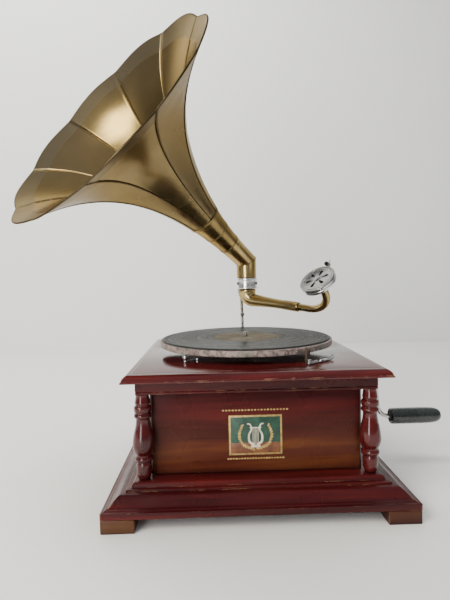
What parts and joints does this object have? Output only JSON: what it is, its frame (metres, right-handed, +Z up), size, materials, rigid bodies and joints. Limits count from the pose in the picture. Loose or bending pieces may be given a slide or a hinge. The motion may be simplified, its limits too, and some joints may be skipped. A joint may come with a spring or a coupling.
{
  "type": "wind up phonograph",
  "caption": "Table phonograph: square moulded cabinet with corner columns, hand crank, turntable with a disc, and a scalloped flared horn on a swivel above a folding tonearm.",
  "frame": {"origin": "middle of the bottom board's underside; the feet reach 16 mm below it", "axes": "+Z up, front towards -Y, the crank side towards +X, the tonearm pivot towards +Y"},
  "size_m": [0.6419, 0.3747, 0.6591],
  "materials": {
    "mahogany": "polished red-brown stain and varnish, worn at the edges",
    "mahogany_panel": "polished, with vertical figure",
    "mahogany_deck": "high gloss varnish",
    "deal": "bare softwood",
    "horn_brass": "polished, lightly tarnished",
    "elbow_brass": "polished, browned",
    "arm_brass": "worn polish",
    "chrome": "bright plating",
    "crank_plating": "bright plating, lightly worn",
    "bracket_nickel": "dull nickel",
    "spindle_steel": "turned steel",
    "platter_enamel": "mottled and worn",
    "record": "fine grooves with a plain grey label area",
    "grip": "black-green gloss paint",
    "mica": "thin translucent sheet",
    "dark_screw": "blackened steel",
    "motor_iron": "bare casting",
    "motor_steel": "machined",
    "motor_brass": "machined",
    "spring_steel": "blued and oiled"
  },
  "bodies": {
    "cabinet": {"bottom_board": "deal", "plinth_front": "mahogany", "plinth_right": "mahogany", "plinth_back": "mahogany", "plinth_left": "mahogany", "foot_front_left": "mahogany", "foot_front_right": "mahogany", "foot_back_right": "mahogany", "foot_back_left": "mahogany", "panel_front": "mahogany_panel", "panel_right": "mahogany_panel", "panel_back": "mahogany_panel", "panel_left": "mahogany_panel", "column_front_left": "mahogany", "column_front_right": "mahogany", "column_back_right": "mahogany", "column_back_left": "mahogany", "frieze_front": "mahogany", "frieze_right": "mahogany", "frieze_back": "mahogany", "frieze_left": "mahogany", "top_board": "mahogany_deck", "motor_frame": "motor_iron", "crank_plate": "chrome", "arm_bracket": "bracket_nickel"},
    "turntable": {"platter": "platter_enamel", "record": "record", "spindle": "spindle_steel"},
    "crank": {"crank": "crank_plating"},
    "crank_grip": {"crank_grip": "grip"},
    "spring_barrel": {"spring_barrel": "motor_steel", "mainspring": "spring_steel"},
    "winding_gear": {"winding_gear": "motor_steel"},
    "intermediate_wheel": {"intermediate_wheel": "motor_brass"},
    "governor": {"governor_shaft": "motor_steel", "governor_weight_1": "motor_brass", "governor_weight_2": "motor_brass", "governor_weight_3": "motor_brass"},
    "horn": {"horn_gore_1": "horn_brass", "horn_gore_2": "horn_brass", "horn_gore_3": "horn_brass", "horn_gore_4": "horn_brass", "horn_gore_5": "horn_brass", "horn_gore_6": "horn_brass", "horn_gore_7": "horn_brass", "horn_gore_8": "horn_brass", "horn_gore_9": "horn_brass", "horn_gore_10": "horn_brass", "horn_cone": "horn_brass", "horn_elbow": "elbow_brass"},
    "tonearm": {"tonearm": "arm_brass"},
    "gooseneck": {"gooseneck": "arm_brass", "soundbox_shell": "chrome", "soundbox_face": "chrome", "diaphragm": "mica", "needle_chuck": "chrome", "needle": "spindle_steel"},
    "needle_screw": {"needle_screw": "dark_screw"},
    "brake_lever": {"brake_lever": "chrome"},
    "speed_lever": {"speed_lever": "chrome"}
  },
  "joints": [
    {"name": "turntable_spin", "type": "hinge", "parent": "cabinet", "child": "turntable", "pos_m": [-0.003, 0, 0.17], "axis": [0, 0, 1], "continuous": true},
    {"name": "crank_turn", "type": "hinge", "parent": "cabinet", "child": "crank", "pos_m": [0.1265, 0.005, 0.112], "axis": [1, 0, 0], "continuous": true},
    {"name": "crank_grip_spin", "type": "hinge", "parent": "crank", "child": "crank_grip", "pos_m": [0.25, 0.005, 0.0485], "axis": [1, 0, 0], "continuous": true},
    {"name": "barrel_turn", "type": "hinge", "parent": "cabinet", "child": "spring_barrel", "pos_m": [0.062, 0.005, 0.08], "axis": [0, 0, 1], "continuous": true},
    {"name": "winding_gear_turn", "type": "hinge", "parent": "cabinet", "child": "winding_gear", "pos_m": [0.062, 0.005, 0.1], "axis": [0, 0, 1], "continuous": true},
    {"name": "intermediate_turn", "type": "hinge", "parent": "cabinet", "child": "intermediate_wheel", "pos_m": [0.01894, 0.03922, 0.1], "axis": [0, 0, 1], "continuous": true},
    {"name": "governor_spin", "type": "hinge", "parent": "cabinet", "child": "governor", "pos_m": [-0.053, -0.0203, 0.07], "axis": [1, 0, 0], "continuous": true},
    {"name": "horn_swivel", "type": "hinge", "parent": "cabinet", "child": "horn", "pos_m": [0.012, 0.158, 0.27], "axis": [0, 0, 1], "range_deg": [-180, 180]},
    {"name": "tonearm_swing", "type": "hinge", "parent": "cabinet", "child": "tonearm", "pos_m": [0.012, 0.158, 0.235], "axis": [0, 0, 1], "range_deg": [-70, 30]},
    {"name": "gooseneck_turn", "type": "hinge", "parent": "tonearm", "child": "gooseneck", "pos_m": [0.012, 0.158, 0.224], "axis": [0.7581, -0.6429, -0.1097], "range_deg": [-119.5, 15]},
    {"name": "needle_screw_turn", "type": "hinge", "parent": "gooseneck", "child": "needle_screw", "pos_m": [0.12771, 0.0285, 0.28161], "axis": [-0.6934, -0.5477, 0.4682], "range_deg": [0, 180]},
    {"name": "brake_lever_turn", "type": "hinge", "parent": "cabinet", "child": "brake_lever", "pos_m": [0.08446, -0.1061, 0.158], "axis": [0, 0, 1], "range_deg": [0, 12]},
    {"name": "speed_lever_turn", "type": "hinge", "parent": "cabinet", "child": "speed_lever", "pos_m": [-0.07212, -0.07157, 0.158], "axis": [0, 0, 1], "range_deg": [-20, 20]}
  ],
  "couplings": [
    {"joint": "intermediate_turn", "follows": "turntable_spin", "ratio": -0.2},
    {"joint": "barrel_turn", "follows": "turntable_spin", "ratio": 0.05},
    {"joint": "governor_spin", "follows": "turntable_spin", "ratio": 10},
    {"joint": "winding_gear_turn", "follows": "crank_turn", "ratio": -0.2}
  ]
}
